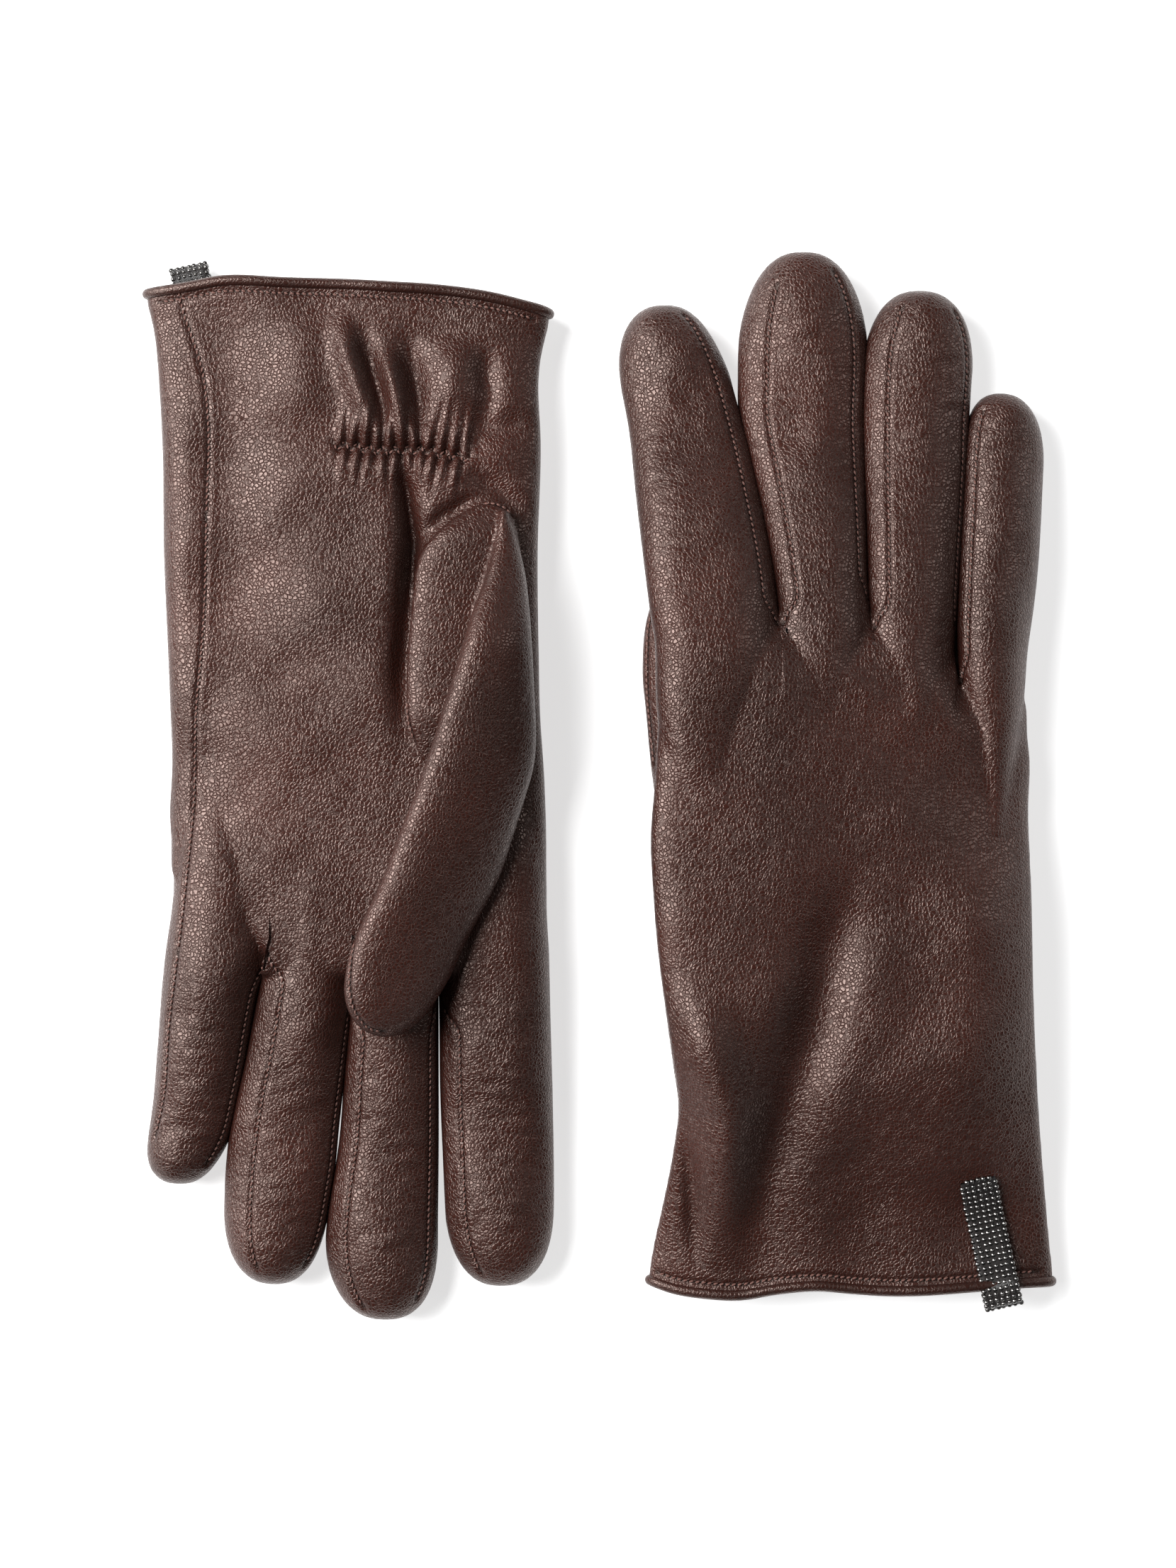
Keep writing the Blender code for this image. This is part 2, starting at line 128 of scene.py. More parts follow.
@dataclass
class Finger:
    """A finger's edges as rows of (v, thumb-side u, little-side u), its tip as (u, v), the length it
    rounds over, the v where its piece begins, and its seams as (share of the half width, from v, to v)."""

    name: str
    tip: tuple
    rounding: float
    rows: tuple
    back_seams: tuple
    palm_seams: tuple
    half_thick: float = 7.5
    split: float = 166.0

    def edges(self, v):
        return edges_at(self.rows, v)

    def section(self, v):
        """Centre, half width and half thickness at v, closed to a round tip."""
        low, high = self.edges(v)
        start = self.tip[1] - self.rounding
        share = np.clip((v - start) / self.rounding, 0.0, 1.0)
        centre = (low + high) / 2.0
        centre += (self.tip[0] - centre) * share**2.2
        half = (high - low) / 2.0 * rounded(share, 2.4)
        flat = np.clip((v - (self.tip[1] - 0.62 * self.rounding)) / (0.62 * self.rounding), 0.0, 1.0)
        thick = HALF_THICK + 0.1 - (HALF_THICK - self.half_thick) * smooth((v - 156.0) / 45.0)
        return centre, half, thick, thick * rounded(flat, 2.4)


@dataclass
class Glove:
    """A glove's outline as rows of (v, thumb-side u, little-side u), its mouth's edge as (u, v), its
    fingers and folds, and how it lies: mirror -1 has the palm up, down is the sign of w at the table,
    lift raises the thumb side and mouth_room the mouth. crown is how square the hand's sections are."""

    side: str
    mirror: int
    origin: tuple
    down: int
    lift: float
    outline: tuple
    fingers: tuple
    mouth: tuple
    folds: dict = field(default_factory=dict)
    mouth_room: float = 0.0
    crown: float = 2.3

    def drape(self, u, v):
        across = np.maximum(0.0, (42.0 - u) / 76.0)
        along = smooth((v + 6.0) / 76.0) * (1.0 - smooth((v - 140.0) / 85.0))
        return self.lift * across * along

    def world(self, points, draped=1.0):
        """Glove points in the pair's frame, in metres."""
        u, v, w = points.T
        z = HALF_THICK + self.mirror * w + draped * self.drape(u, v)
        x, y = self.origin
        z = np.maximum(z, FLOOR_GAP)
        return np.stack([x + self.mirror * u, y + self.mirror * v, z], 1) * MM

    def at(self, u, v, w=0.0):
        return Vector(self.world(np.array([[u, v, w]], float))[0])

    def knots(self, v):
        """The fingers' edges at v, in order and not crossing: one row for each v."""
        edges = [e for f in self.fingers for e in f.edges(v)]
        table = np.stack(edges, 1)
        for i in range(1, 8):
            table[:, i] = np.maximum(table[:, i], table[:, i - 1] + CLOSE_EDGE)
        return table

    def spread(self, v):
        """How far each of the fingers' edges is moved while the skin is meshed."""
        return SPREAD * ease(v, SPREAD_V)[:, None]

    def gather_in(self, points):
        """Brings the fingers, which are meshed a little apart, together again."""
        v = points[:, 1]
        real = self.knots(v)
        apart = real + self.spread(v)
        snug = SNUG * ease(v, SNUG_V)[:, None]
        real[:, ::2] -= snug
        real[:, 1::2] += snug
        u = points[:, 0]
        shift = real - apart
        out = np.where(u <= apart[:, 0], u + shift[:, 0], u + shift[:, 7])
        for i in range(7):
            inside = (u > apart[:, i]) & (u <= apart[:, i + 1])
            share = (u - apart[:, i]) / (apart[:, i + 1] - apart[:, i])
            out = np.where(inside, real[:, i] + share * (real[:, i + 1] - real[:, i]), out)
        squeeze = (real[:, 7] - real[:, 0]) / (apart[:, 7] - apart[:, 0])
        evenly = real[:, 0] + (u - apart[:, 0]) * squeeze
        out = evenly + ease(v, EVEN_V) * (out - evenly)
        return np.stack([out, v, points[:, 2]], 1)


RIGHT = Glove(
    side="right", mirror=1, origin=(55.7, -115.2), down=-1, lift=15.6,
    outline=(
        (-6, -44.6, 48.8), (2, -44.3, 48.5), (10, -43.1, 47.7), (20, -41.0, 46.8), (32, -38.8, 45.7),
        (42, -37.8, 44.9), (51, -39.0, 44.4), (64, -40.8, 43.8), (78, -42.6, 43.5), (92, -43.7, 43.2),
        (103, -44.2, 42.8), (117, -43.2, 42.4), (133, -42.4, 41.9), (150, -43.3, 42.8), (166, -45.3, 44.5),
    ),
    fingers=(
        Finger(
            "index", tip=(-41.0, 225.4), rounding=22.0,
            rows=(
                (149, -43.2, -14.7), (165, -45.2, -16.3), (182, -47.2, -19.6), (197, -48.8, -23.1),
                (207, -50.6, -25.8), (225, -52.4, -29.5),
            ),
            back_seams=((0.79, 152, 224),), palm_seams=((0.62, 166, 224),),
        ),
        Finger(
            "middle", tip=(-9.0, 237.7), rounding=25.0,
            rows=(
                (148, -14.3, 6.8), (157, -15.0, 5.7), (175, -18.0, 5.2), (190, -21.2, 4.9),
                (200, -23.4, 4.8), (210, -23.6, 5.3), (237, -21.9, 4.2),
            ),
            back_seams=((-0.58, 152, 231), (0.82, 158, 234)),
            palm_seams=((-0.7, 166, 234), (0.7, 166, 234)),
        ),
        Finger(
            "ring", tip=(17.9, 228.7), rounding=22.0,
            rows=(
                (148, 6.8, 25.6), (157, 5.9, 26.1), (174, 5.3, 27.4), (190, 5.0, 28.4), (201, 4.9, 28.9),
                (211, 5.1, 29.6), (228, 6.0, 30.5),
            ),
            back_seams=((-0.56, 151, 226), (0.93, 152, 225)),
            palm_seams=((-0.7, 166, 225), (0.7, 166, 225)),
        ),
        Finger(
            "little", tip=(36.7, 205.0), rounding=17.5, half_thick=6.8, split=154.0,
            rows=(
                (136, 26.9, 41.9), (149, 26.3, 42.7), (165, 26.8, 44.5), (182, 27.8, 45.6),
                (190, 28.3, 46.0), (205, 28.6, 46.4),
            ),
            back_seams=((-0.75, 139, 202),), palm_seams=((-0.7, 153, 202),),
        ),
    ),
    mouth=(
        (-46, 1.2), (-39, -1.2), (-31, -2.3), (-24, -2.6), (-15, -1.1), (-6, -0.3), (2, -1.0), (10, -1.5),
        (18, -1.4), (26, -0.9), (41, 0.1), (50, 0.3),
    ),
)

LEFT = Glove(
    side="left", mirror=-1, origin=(-58.4, 115.5), down=1, lift=0.0, mouth_room=1.85, crown=3.0,
    outline=(
        (-6, -46.6, 46.6), (3, -46.0, 45.9), (9, -45.1, 44.7), (22, -43.7, 43.4), (36, -44.2, 42.6),
        (62, -43.5, 42.2), (88, -43.8, 41.1), (98, -44.0, 40.7), (114, -45.0, 40.1), (130, -45.5, 39.9),
        (147, -45.5, 40.8), (166, -46.0, 42.6),
    ),
    fingers=(
        Finger(
            "index", tip=(-35.3, 230.2), rounding=20.0,
            rows=(
                (150, -45.7, -21.0), (165, -46.0, -21.5), (187, -46.6, -21.8), (204, -46.9, -22.5),
                (213, -46.9, -22.9), (230, -46.9, -23.8),
            ),
            back_seams=((0.7, 152, 228),), palm_seams=((0.66, 166, 228),),
        ),
        Finger(
            "middle", tip=(-8.5, 238.0), rounding=22.0,
            rows=(
                (150, -20.2, -1.5), (165, -20.4, -1.1), (180, -20.4, 0.2), (199, -20.4, 1.8),
                (209, -20.3, 3.5), (217, -20.2, 4.5), (237, -20.6, 4.8),
            ),
            back_seams=((-0.7, 152, 234), (0.7, 152, 234)),
            palm_seams=((-0.88, 167, 234), (0.66, 167, 236)),
        ),
        Finger(
            "ring", tip=(17.1, 229.8), rounding=20.0,
            rows=(
                (150, -0.9, 17.6), (165, -0.7, 20.6), (179, 0.8, 23.4), (187, 1.8, 25.3), (194, 2.6, 26.7),
                (204, 3.6, 27.8), (211, 4.8, 28.1), (229, 6.5, 28.4),
            ),
            back_seams=((-0.7, 152, 226), (0.7, 152, 226)), palm_seams=((-0.96, 168, 226), (0.5, 154, 227)),
        ),
        Finger(
            "little", tip=(39.0, 206.7), rounding=15.0, half_thick=6.8, split=154.0,
            rows=(
                (140, 18.0, 40.1), (155, 18.4, 41.6), (163, 20.9, 42.4), (171, 22.6, 43.0),
                (179, 24.0, 43.7), (187, 25.7, 44.4), (194, 27.2, 45.4), (206, 30.0, 47.6),
            ),
            back_seams=((-0.75, 139, 203),), palm_seams=((-0.9, 156, 203),),
        ),
    ),
    mouth=(
        (-47, 6.4), (-45, 5.6), (-41, 4.6), (-34, 2.9), (-26, 1.6), (-18, 0.8), (-10, 0.4), (-2, -0.1),
        (15, -0.6), (29, -1.0), (37, 0.4), (47, 1.7),
    ),
)

# Folds: a line in (u, v), how wide the fold is and how high it stands. Those on the back come first.
RIGHT.folds = {
    1: (
        (((-22.6, 5), (-19.5, 25), (-12.8, 42), (-9, 55), (-5, 68), (-1.4, 84), (1, 102)), 4.8, -2.7),
        (((22, 18), (31, 48), (36, 80), (36, 114)), 13.0, 3.2),
        (((-36, 74), (-31, 54), (-26.5, 40), (-26, 24), (-27, 4)), 4.8, 3.3),
        (((-37, 40), (-35, 26), (-33.5, 4)), 1.6, -1.1),
        (((3, 138), (9, 146)), 6.0, -0.5),
        (((-40, 203), (-28, 209)), 3.2, -0.6),
        (((-20, 193), (-6, 197)), 3.0, -0.5),
    ),
    -1: (),
}
LEFT.folds = {
    1: (),
    -1: (
        (((-13, 39), (-14.6, 48), (-15, 59), (-14.4, 76), (-13.2, 91), (-13.4, 101), (-15, 110)), 2.3, -2.2),
        (((-7.3, 37), (-3.3, 26), (0, 16), (1.6, 6)), 2.3, 2.2),
        (((-10, 36), (-7.5, 26), (-4.5, 16), (-3.2, 8)), 1.5, -1.6),
        (((-13, 37), (-11.4, 26), (-8.2, 14)), 1.9, 2.0),
        (((-16.5, 37), (-16.0, 26), (-13.5, 10)), 1.8, -1.7),
        (((-13, 36), (-13.3, 46), (-15.2, 60), (-14.2, 78)), 1.2, -2.2),
        (((-15.5, 64), (-18.2, 57.5), (-22, 54), (-28, 50.2), (-35, 49.6)), 1.4, -1.1),
        (((-30, 36), (-32.5, 27), (-31.5, 12)), 1.9, -1.2),
        (((-26, 41.0), (-31, 34.5), (-37, 32.8), (-45, 33.2)), 2.6, -1.1),
        (((-27, 42.4), (-34, 47.3), (-42, 55)), 2.2, -1.2),
        (((-25, 32), (-24.5, 24), (-24, 10)), 3.8, 1.5),
        (((-7, 50), (-7, 114)), 9.0, 0.7),
        (((38.5, 20), (38, 60), (39.5, 118)), 4.0, 0.8),
        (((36, 100), (35, 132)), 9.0, -1.0),
        (((27, 8), (27, 60), (28, 104)), 6.0, -1.0),
        (((9, 34), (10, 6)), 5.0, 1.0),
    ),
}
GATHER = ((3.3, 37.2), (-1.6, 37.8), (-6.5, 38.5), (-12.7, 38.6), (-17.9, 38.5), (-23.6, 39.6), (-28.5, 40.4))
GATHER_PITCH = 2.9
# SEAM_REACH is how far the seam attribute runs; that attribute places the painted shade along the seams.
SEAM_REACH = 3.0
SEAM_STEP = 0.35
SIDE_SEAM = (
    (39, 1.0), (37.6, 7), (35.8, 12), (33.3, 20), (31.8, 33), (32.1, 49), (33.1, 81), (34.6, 98), (35.5, 122),
    (37.2, 139), (39.1, 155), (41.1, 171), (42.4, 187), (44.6, 197),
)


# ---- meshes from arrays

def make_object(name, points, faces, material, normals=None):
    mesh = bpy.data.meshes.new(name)
    mesh.from_pydata(np.asarray(points).tolist(), [], [list(map(int, f)) for f in faces])
    mesh.update()
    if material:
        mesh.materials.append(material)
    mesh.shade_smooth()
    if normals is not None:
        mesh.normals_split_custom_set_from_vertices(np.asarray(normals).tolist())
    obj = bpy.data.objects.new(name, mesh)
    bpy.context.scene.collection.objects.link(obj)
    return obj


def set_attribute(obj, name, values):
    attribute = obj.data.attributes.new(name, "FLOAT", "POINT")
    attribute.data.foreach_set("value", np.asarray(values, np.float32))


def grid_faces(rows, columns, closed=True):
    i, j = np.meshgrid(np.arange(rows - 1), np.arange(columns if closed else columns - 1), indexing="ij")
    k = (j + 1) % columns
    cells = [i * columns + j, i * columns + k, (i + 1) * columns + k, (i + 1) * columns + j]
    return np.stack(cells, -1).reshape(-1, 4)


def loft(stations, power, columns=96):
    """A closed tube through sections (centre u, v, centre w, half width, half thickness)."""
    turn = np.linspace(0, 2 * np.pi, columns, endpoint=False)
    cos, sin = np.cos(turn), np.sin(turn)
    x = np.sign(cos) * np.abs(cos) ** (2 / power)
    y = np.sign(sin) * np.abs(sin) ** (2 / power)
    rings = [np.stack([c + a * x, np.full(columns, v), w + b * y], 1) for c, v, w, a, b in stations]
    faces = [list(f) for f in grid_faces(len(rings), columns)]
    last = (len(rings) - 1) * columns
    faces.append(list(range(columns))[::-1])
    faces.append(list(range(last, last + columns)))
    return np.concatenate(rings), faces


def remeshed(name, solids, voxel, iterations):
    """The union of overlapping closed solids as one even skin: (points, quads)."""
    points, faces, count = [], [], 0
    for solid_points, solid_faces in solids:
        points.append(solid_points)
        faces += [[count + k for k in f] for f in solid_faces]
        count += len(solid_points)
    obj = make_object(name, np.concatenate(points), faces, None)
    skin = obj.modifiers.new("Skin", "REMESH")
    skin.mode = "VOXEL"
    skin.voxel_size = voxel
    soften = obj.modifiers.new("Soften", "SMOOTH")
    soften.iterations = iterations
    mesh = bpy.data.meshes.new_from_object(obj.evaluated_get(bpy.context.evaluated_depsgraph_get()))
    co = np.empty(len(mesh.vertices) * 3)
    mesh.vertices.foreach_get("co", co)
    corners = np.empty(len(mesh.loops), np.int64)
    mesh.loops.foreach_get("vertex_index", corners)
    bpy.data.objects.remove(obj)
    return co.reshape(-1, 3), corners.reshape(-1, 4)


def vertex_normals(points, faces):
    across = points[faces[:, 2]] - points[faces[:, 0]]
    along = points[faces[:, 3]] - points[faces[:, 1]]
    face_normals = np.cross(across, along)
    normals = np.zeros_like(points)
    for k in range(4):
        np.add.at(normals, faces[:, k], face_normals)
    return normals / np.maximum(np.linalg.norm(normals, axis=1, keepdims=True), 1e-12)


def to_line(points, line):
    """Each point's distance to a line of (u, v) corners, and how far along it the nearest place is."""
    line = np.array(line, float)
    lengths = np.linalg.norm(np.diff(line, axis=0), axis=1)
    before = np.concatenate([[0], np.cumsum(lengths)])
    best = np.full(len(points), 1e9)
    along = np.zeros(len(points))
    for i, length in enumerate(lengths):
        step = (line[i + 1] - line[i]) / length
        t = np.clip((points - line[i]) @ step, 0, length)
        gap = np.linalg.norm(points - line[i] - t[:, None] * step, axis=1)
        nearer = gap < best
        best = np.where(nearer, gap, best)
        along = np.where(nearer, before[i] + t, along)
    return best, along, before[-1]


# ---- the skin of a glove

def stations_to(tip, rows):
    """The rows' places along v, followed by closer and closer ones up to the tip."""
    return np.concatenate([rows, tip - np.geomspace(3, 0.02, 9)])


def glove_solids(glove):
    """The hand and the four fingers as overlapping solids, the fingers spread a little."""
    hand = []
    for v in np.arange(-5.0, CROTCH_V + 0.1, 1.5):
        low, high = edges_at(glove.outline, v)
        apart = glove.spread(np.array([v]))[0]
        low, high = low + apart[0], high + apart[-1]
        thick = MOUTH_HALF_THICK + (HALF_THICK - MOUTH_HALF_THICK) * smooth((v - 8.0) / 45.0)
        room = glove.mouth_room * (1.0 - smooth((v - 25.0) / 20.0))
        lean = glove.down * (HALF_THICK - thick - room)
        end = np.clip((v - (CROTCH_V - CROTCH_ROUND)) / CROTCH_ROUND, 0.0, 0.995)
        half = (high - low) / 2 + 0.3 - 4.0 * smooth((v - CROTCH_V + 13.0) / 13.0)
        hand.append(((low + high) / 2, v, lean, half, thick * math.sqrt(1 - end**2)))
    points, faces = loft(hand, glove.crown, 220)
    late = smooth((points[:, 1] - 105.0) / 45.0)
    points[:, 1] -= late * (LITTLE_DROP * smooth((points[:, 0] - 20.0) / 12.0))
    points[:, 1] -= late * CROTCH_SHEAR * points[:, 2] / HALF_THICK
    solids = [(points, faces)]
    for i, finger in enumerate(glove.fingers):
        stations = []
        for v in stations_to(finger.tip[1], np.arange(FINGER_ROOT, finger.tip[1] - 3, 1.5)):
            centre, half, thick, closed = finger.section(v)
            centre = centre + glove.spread(np.array([v]))[0][2 * i]
            sunk = FINGER_SINK * (1.0 - smooth((v - FINGER_ROOT) / 36.0))
            v += TIP_FILL * smooth((v - 160.0) / 40.0)
            lean = glove.down * (HALF_THICK - thick)
            stations.append((centre, v, lean, half - sunk + FINGER_FILL, closed - sunk))
        solids.append(loft(stations, 2.0))
    return solids


def face_mask(normals, side):
    """1 where the skin faces the back (side 1) or the palm (side -1), fading out round the edge."""
    return smooth((side * normals[:, 2] + 0.15) / 0.6)


def uneven(flat, wavelength, seed):
    """A smooth random field over (u, v), about -2 to 2, whose bumps are half a wavelength wide."""
    rng = np.random.default_rng(seed)
    turns = rng.uniform(0, 2 * np.pi, (28, 2))
    pace = 2 * np.pi / wavelength * rng.uniform(0.7, 1.4, 28)
    waves = [
        np.sin(k * (flat[:, 0] * math.cos(way) + flat[:, 1] * math.sin(way)) + phase)
        for k, (way, phase) in zip(pace, turns)
    ]
    return sum(waves) * math.sqrt(2.0 / len(waves))


def add_folds(glove, points, faces):
    """Broad folds and hollows, the elastic gather and the soft unevenness of worn leather."""
    normals = vertex_normals(points, faces)
    flat = points[:, :2]
    rise = np.zeros(len(points))
    for side, folds in glove.folds.items():
        mask = face_mask(normals, side)
        for line, width, height in folds:
            gap, along, length = to_line(flat, line)
            ends = smooth(np.minimum(along, length - along) / (0.42 * length) + 0.12)
            rise += side * mask * ends * FOLD_HEIGHT * height * np.exp(-0.5 * (gap / width) ** 2)
    gap, along, length = to_line(flat, GATHER)
    past = flat[:, 1] > curve([(p[0], p[1]) for p in GATHER[::-1]], flat[:, 0])
    inside = smooth(np.minimum(along, length - along) / 4.0 + 0.2)
    phase = 2 * np.pi * along / GATHER_PITCH + np.where(past, np.pi, -np.pi) / 2
    reach = np.where(past, 3.6, 5.2) * (1.0 + 0.35 * np.sin(along * 1.1))
    ripple = np.sin(phase) * np.exp(-0.5 * (gap / reach) ** 2) * (0.25 + 0.75 * smooth(gap / 1.4))
    pinch = -0.7 * np.exp(-0.5 * (gap / 1.6) ** 2) + 0.9 * np.exp(-0.5 * ((gap - 4.2) / 2.4) ** 2)
    rise -= face_mask(normals, -1) * inside * (ripple + pinch)
    for wavelength, height, seed in ((30.0, 0.26, 1), (13.0, 0.055, 2), (5.0, 0.010, 3)):
        rise += height * uneven(flat, wavelength, seed) * normals[:, 2]
    creased = smooth((flat[:, 1] - 150.0) / 20.0)
    rise += 0.05 * creased * uneven(flat * (0.35, 1.0), 4.2, 4) * normals[:, 2]
    points = points.copy()
    points[:, 2] += rise
    return points


def shift_mouth(glove, points):
    """Moves the straight mouth to its own edge, less and less further up."""
    edge = curve(glove.mouth, points[:, 0])
    points[:, 1] += edge * (1.0 - smooth(points[:, 1] / MOUTH_FADE))
    return points


def kept(faces, keep, count):
    """The kept faces numbered afresh, and which of the count vertices they use."""
    faces = faces[keep]
    used = np.unique(faces)
    renumber = np.full(count, -1)
    renumber[used] = np.arange(len(used))
    return renumber[faces], used


def keep_open(points, faces):
    """Cuts the mouth open and trims its edge level."""
    faces, used = kept(faces, points[faces][:, :, 1].mean(1) > 0.0, len(points))
    points = points[used]
    rim = boundary(faces)
    points[rim, 1] = 0.0
    return points, faces


def boundary(faces):
    """Vertices on the open edge."""
    edges = np.sort(np.concatenate([faces[:, [k, (k + 1) % 4]] for k in range(4)]), axis=1)
    found, counts = np.unique(edges, axis=0, return_counts=True)
    return np.unique(found[counts == 1])


def build_skin(glove, voxel, iterations):
    """(points, faces, spread u): the shaped skin in the glove's frame, its mouth open."""
    points, faces = remeshed(f"{glove.side}_union", glove_solids(glove), voxel, iterations)
    points, faces = keep_open(points, faces)
    apart = points[:, 0].copy()
    points = glove.gather_in(points)
    points = add_folds(glove, points, faces)
    return shift_mouth(glove, points), faces, apart


def digit_of(glove, apart, v):
    """Which finger each point is on, from the thumb side."""
    knots = glove.knots(v) + glove.spread(v)
    return sum((apart > (knots[:, 2 * i + 1] + knots[:, 2 * i + 2]) / 2).astype(int) for i in range(3))


# ---- seams

@dataclass
class Seam:
    """A line of (u, v) on the back (side 1) or the palm (side -1) of one body."""

    body: str
    side: int
    line: tuple


def finger_seam(finger, x, start, end):
    """A seam at a share x of the finger's half width, which turns into the crotch at its root."""
    line = []
    for v in np.linspace(start, end, 30):
        centre, half, _, _ = finger.section(v)
        turn = x + (math.copysign(0.97, x) - x) * (1.0 - smooth((v - start) / 7.0))
        line.append((float(centre + turn * half), float(v)))
    return line


def zigzag(line, step, height):
    spots = resample(line, step)
    spots[:, 1] += np.where(np.arange(len(spots)) % 2, height, -height)
    return spots


def seams_of(glove):
    seams = [Seam("hand", -1, SIDE_SEAM)]
    for finger in glove.fingers:
        for side, runs in ((1, finger.back_seams), (-1, finger.palm_seams)):
            for x, start, end in runs:
                seams.append(Seam(finger.name, side, finger_seam(finger, x, start, end)))
    for side, end in ((1, 46.0), (-1, 44.0)):
        line = [(u, float(curve(glove.mouth, u)) + 2.9) for u in np.linspace(-43.0, end, 60)]
        seams.append(Seam("cuff", side, line))
    seams.append(Seam("cuff", -1, zigzag(GATHER, GATHER_PITCH / 2, 0.85)))
    return seams


def resample(line, step):
    """Points every step along a smooth curve through the corners."""
    line = np.array(line, float)
    lengths = np.concatenate([[0], np.cumsum(np.linalg.norm(np.diff(line, axis=0), axis=1))])
    s = np.arange(0, lengths[-1], step)
    return np.stack([curve(np.stack([lengths, line[:, k]], 1), s) for k in range(line.shape[1])], 1)


def drop_on(tree, line, side):
    """The line's points on the skin's outer face of that side, with the skin's normals."""
    spots, normals = [], []
    for u, v in line:
        start = Vector((u, v, side * CAST_FROM))
        hit, normal, _, _ = tree.ray_cast(start, Vector((0, 0, -side)))
        if hit is None:
            hit, normal, _, _ = tree.find_nearest(Vector((u, v, side * 2.0)))
        spots.append(hit)
        normals.append(normal)
    return np.array(spots), np.array(normals)


def bump_at(gap, width, middle=0.0):
    return np.exp(-(((gap - middle) / width) ** 2))


def sew(seams, points, faces, profile):
    """Presses seams into a skin, profile being the rise at a distance from a seam. Gives the new
    points, each one's distance to a seam, and the seams as laid on the skin."""
    tree = BVHTree.FromPolygons(points.tolist(), faces.tolist())
    laid = []
    for seam in seams:
        spots, normals = drop_on(tree, resample(seam.line, SEAM_STEP), seam.side)
        laid.append((seam, spots, normals))
    everything = np.concatenate([spots for _, spots, _ in laid])
    near = KDTree(len(everything))
    for i, spot in enumerate(everything):
        near.insert(spot, i)
    near.balance()
    gap = np.array([near.find(p)[2] for p in points.tolist()])
    rise = profile(gap)[:, None]
    return points + vertex_normals(points, faces) * rise, gap, laid


def hand_groove(gap):
    """A narrow groove between two soft lips."""
    return -0.50 * bump_at(gap, 0.45) + 0.10 * bump_at(gap, 0.8, 1.4)


def thumb_groove(gap):
    return -0.6 * bump_at(gap, 0.55)


# ---- materials

class Shading:
    """A new material's nodes, with short ways of adding and joining them."""

    def __init__(self, name, **values):
        self.mat = bpy.data.materials.new(name)
        self.mat.use_nodes = True
        self.fill(self.mat.node_tree.nodes["Principled BSDF"], values)
        self.place = self.add("ShaderNodeTexCoord").outputs["Object"]

    def fill(self, node, values):
        """Puts each value in the input of that name, links it there, or else sets it as a property."""
        for key, value in values.items():
            if key not in node.inputs:
                setattr(node, key, value)
            elif isinstance(value, bpy.types.NodeSocket):
                self.mat.node_tree.links.new(value, node.inputs[key])
            else:
                node.inputs[key].default_value = value

    def finish(self, **values):
        """Sets or links the shader's last inputs and gives the material."""
        self.fill(self.mat.node_tree.nodes["Principled BSDF"], values)
        return self.mat

    def add(self, kind, **values):
        node = self.mat.node_tree.nodes.new(kind)
        self.fill(node, values)
        return node

    def texture(self, kind, **values):
        """A texture that lies in the object's own coordinates."""
        return self.add(kind, Vector=self.place, **values)

    def maths(self, operation, a, b):
        node = self.add("ShaderNodeMath", operation=operation)
        for socket, value in zip(node.inputs, (a, b)):
            if isinstance(value, float):
                socket.default_value = value
            else:
                self.mat.node_tree.links.new(value, socket)
        return node.outputs[0]

    def multiply(self, a, b, share):
        mix = self.add("ShaderNodeMixRGB", blend_type="MULTIPLY", Fac=share, Color1=a, Color2=b)
        return mix.outputs["Color"]

    def between(self, value, low, high):
        node = self.add("ShaderNodeMapRange", Value=value, **{"To Min": low, "To Max": high})
        return node.outputs[0]

    def bump(self, height, strength, distance):
        node = self.add("ShaderNodeBump", Height=height, Strength=strength, Distance=distance)
        return node.outputs["Normal"]

    def ramp(self, factor, stops):
        """A colour ramp through (position, colour) stops, a colour of one number being a grey."""
        node = self.add("ShaderNodeValToRGB", Fac=factor)
        elements = node.color_ramp.elements
        while len(elements) < len(stops):
            elements.new(0.5)
        for element, (position, colour) in zip(elements, stops):
            element.position = position
            element.color = (*colour, 1.0) if len(colour) == 3 else (colour[0],) * 3 + (1.0,)
        return node.outputs["Color"]


